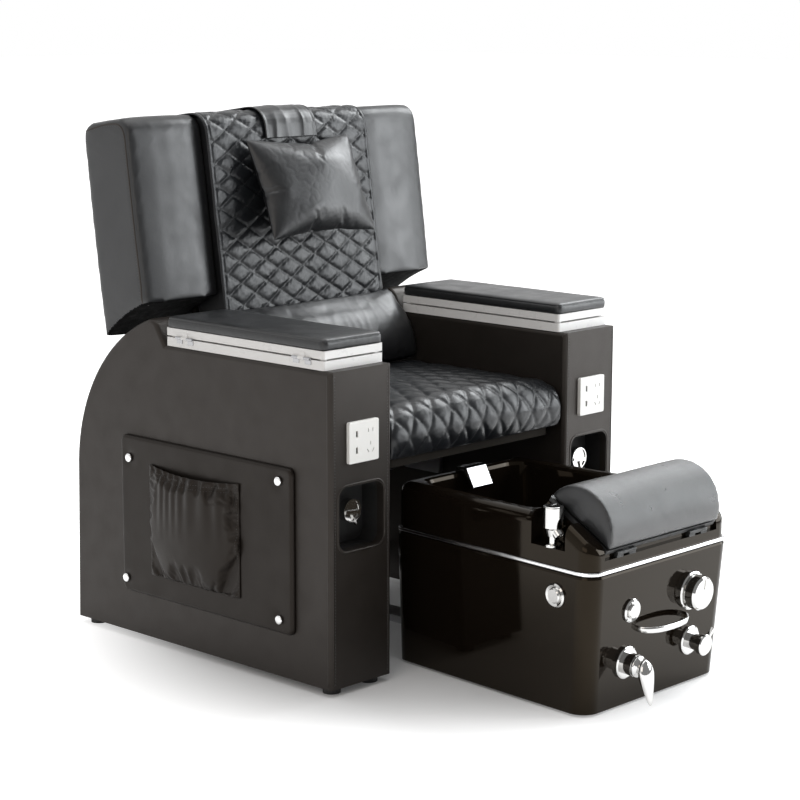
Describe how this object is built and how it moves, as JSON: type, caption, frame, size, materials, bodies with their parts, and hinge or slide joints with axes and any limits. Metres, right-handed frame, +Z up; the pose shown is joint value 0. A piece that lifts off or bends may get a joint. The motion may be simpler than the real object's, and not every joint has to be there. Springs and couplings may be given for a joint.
{
  "type": "pedicure spa chair",
  "caption": "Reclining pedicure chair with panelled arms, flip-over armrests, a quilted seat and back cover, and a foot basin that slides out on glides.",
  "frame": {"origin": "centre of the bounding box on the floor", "axes": "+Z up; the chair faces -Y; +X towards the sitter's left hand, which is the viewer's right"},
  "size_m": [0.9698, 1.3606, 1.1698],
  "materials": {
    "leatherette": "matte",
    "cushion_leatherette": "matte",
    "rubber_black": "matte",
    "mirror_caps": "polished",
    "socket_white": "satin",
    "recess_black": "matte",
    "chrome_parts": "polished",
    "silver_strip": "satin",
    "steel": "brushed",
    "plywood": "matte",
    "drive_housing": "satin",
    "basin_black": "polished",
    "trim_silver": "polished",
    "nylon": "matte",
    "footrest_leatherette": "satin",
    "footrest_board_black": "matte"
  },
  "bodies": {
    "chair": {"arm_casing_left": "leatherette", "arm_casing_right": "leatherette", "chair_feet": "rubber_black", "side_panel_left": "leatherette", "side_panel_right": "leatherette", "side_panel_screws": "mirror_caps", "side_pockets": "leatherette", "socket_plates": "socket_white", "recess_cups": "recess_black", "armrest_bases": "silver_strip", "armrest_hinges": "steel", "cross_rails": "steel", "seat_deck": "plywood", "seat_cushion": "cushion_leatherette", "rear_cover": "leatherette", "pivot_brackets": "steel", "recline_drive": "drive_housing", "guide_rail": "steel"},
    "armrest_left": {"armrest_board_left": "silver_strip", "armrest_pad_left": "cushion_leatherette"},
    "armrest_right": {"armrest_board_right": "silver_strip", "armrest_pad_right": "cushion_leatherette"},
    "knob_left": {"recess_knob_left": "chrome_parts"},
    "knob_right": {"recess_knob_right": "chrome_parts"},
    "back": {"recline_shaft": "steel", "back_side_plates": "steel", "back_board": "plywood", "back_rear_cover": "recess_black", "back_cushion": "cushion_leatherette", "back_wing_left": "cushion_leatherette", "back_wing_right": "cushion_leatherette", "quilted_cover": "cushion_leatherette", "pillow_strap": "leatherette", "head_pillow": "cushion_leatherette", "lumbar_cushion": "cushion_leatherette"},
    "basin": {"tub_skirt": "basin_black", "tub_trim": "trim_silver", "tub_basin": "basin_black", "tub_base": "plywood", "tub_glides": "nylon", "drain_strainer": "chrome_parts", "waterfall_spout": "chrome_parts", "faucet_stem": "chrome_parts", "jet_cover": "basin_black", "jet_motor": "drive_housing", "footrest_hinges": "steel", "air_button_bezels": "chrome_parts", "diverter_collar": "chrome_parts", "pull_handle": "chrome_parts", "drain_valve_body": "chrome_parts", "mixer_body": "chrome_parts"},
    "faucet": {"faucet_head": "chrome_parts"},
    "impeller": {"jet_impeller": "basin_black"},
    "footrest": {"footrest_board": "footrest_board_black", "footrest_pad": "footrest_leatherette"},
    "button_front": {"air_button_front": "chrome_parts"},
    "button_side": {"air_button_side": "chrome_parts"},
    "diverter": {"diverter_knob": "chrome_parts"},
    "drain_lever": {"drain_valve_lever": "chrome_parts"},
    "mixer": {"mixer_lever": "chrome_parts"}
  },
  "joints": [
    {"name": "basin_slide", "type": "slide", "parent": "chair", "child": "basin", "axis": [0, 1, 0], "range_m": [0, 0.3]},
    {"name": "back_recline", "type": "hinge", "parent": "chair", "child": "back", "pos_m": [0, 0.28233, 0.364], "axis": [-1, 0, 0], "range_deg": [0, 40]},
    {"name": "armrest_left_flip", "type": "hinge", "parent": "chair", "child": "armrest_left", "pos_m": [-0.4574, 0.11583, 0.69945], "axis": [0, -1, 0], "range_deg": [0, 180]},
    {"name": "armrest_right_flip", "type": "hinge", "parent": "chair", "child": "armrest_right", "pos_m": [0.4574, 0.11583, 0.69945], "axis": [0, 1, 0], "range_deg": [0, 180]},
    {"name": "knob_left_turn", "type": "hinge", "parent": "chair", "child": "knob_left", "pos_m": [-0.3695, -0.08667, 0.377], "axis": [0, -1, 0], "range_deg": [-45, 45]},
    {"name": "knob_right_turn", "type": "hinge", "parent": "chair", "child": "knob_right", "pos_m": [0.3695, -0.08667, 0.377], "axis": [0, -1, 0], "range_deg": [-45, 45]},
    {"name": "faucet_swivel", "type": "hinge", "parent": "basin", "child": "faucet", "pos_m": [-0.189, -0.50767, 0.38], "axis": [0, 0, 1], "range_deg": [-45, 45]},
    {"name": "impeller_spin", "type": "hinge", "parent": "basin", "child": "impeller", "pos_m": [0.02, -0.45367, 0.232], "axis": [0, 1, 0], "continuous": true},
    {"name": "footrest_flip", "type": "hinge", "parent": "basin", "child": "footrest", "pos_m": [0.02, -0.62267, 0.331], "axis": [1, 0, 0], "range_deg": [0, 75]},
    {"name": "button_front_press", "type": "slide", "parent": "basin", "child": "button_front", "axis": [0, 0.9976, 0.0688], "range_m": [0, 0.004], "stiffness_N_per_m": 400, "springref_m": -0.002},
    {"name": "button_side_press", "type": "slide", "parent": "basin", "child": "button_side", "axis": [0.9969, -0.0662, 0.0413], "range_m": [0, 0.004], "stiffness_N_per_m": 400, "springref_m": -0.002},
    {"name": "diverter_turn", "type": "hinge", "parent": "basin", "child": "diverter", "pos_m": [0.12, -0.62267, 0.208], "axis": [0, -0.9976, -0.0688], "range_deg": [-90, 90]},
    {"name": "drain_lever_turn", "type": "hinge", "parent": "basin", "child": "drain_lever", "pos_m": [0.13, -0.61502, 0.097], "axis": [0, -0.9976, -0.0688], "range_deg": [0, 90]},
    {"name": "mixer_turn", "type": "hinge", "parent": "basin", "child": "mixer", "pos_m": [-0.087, -0.61502, 0.097], "axis": [0, -0.9976, -0.0688], "range_deg": [-45, 45]}
  ]
}
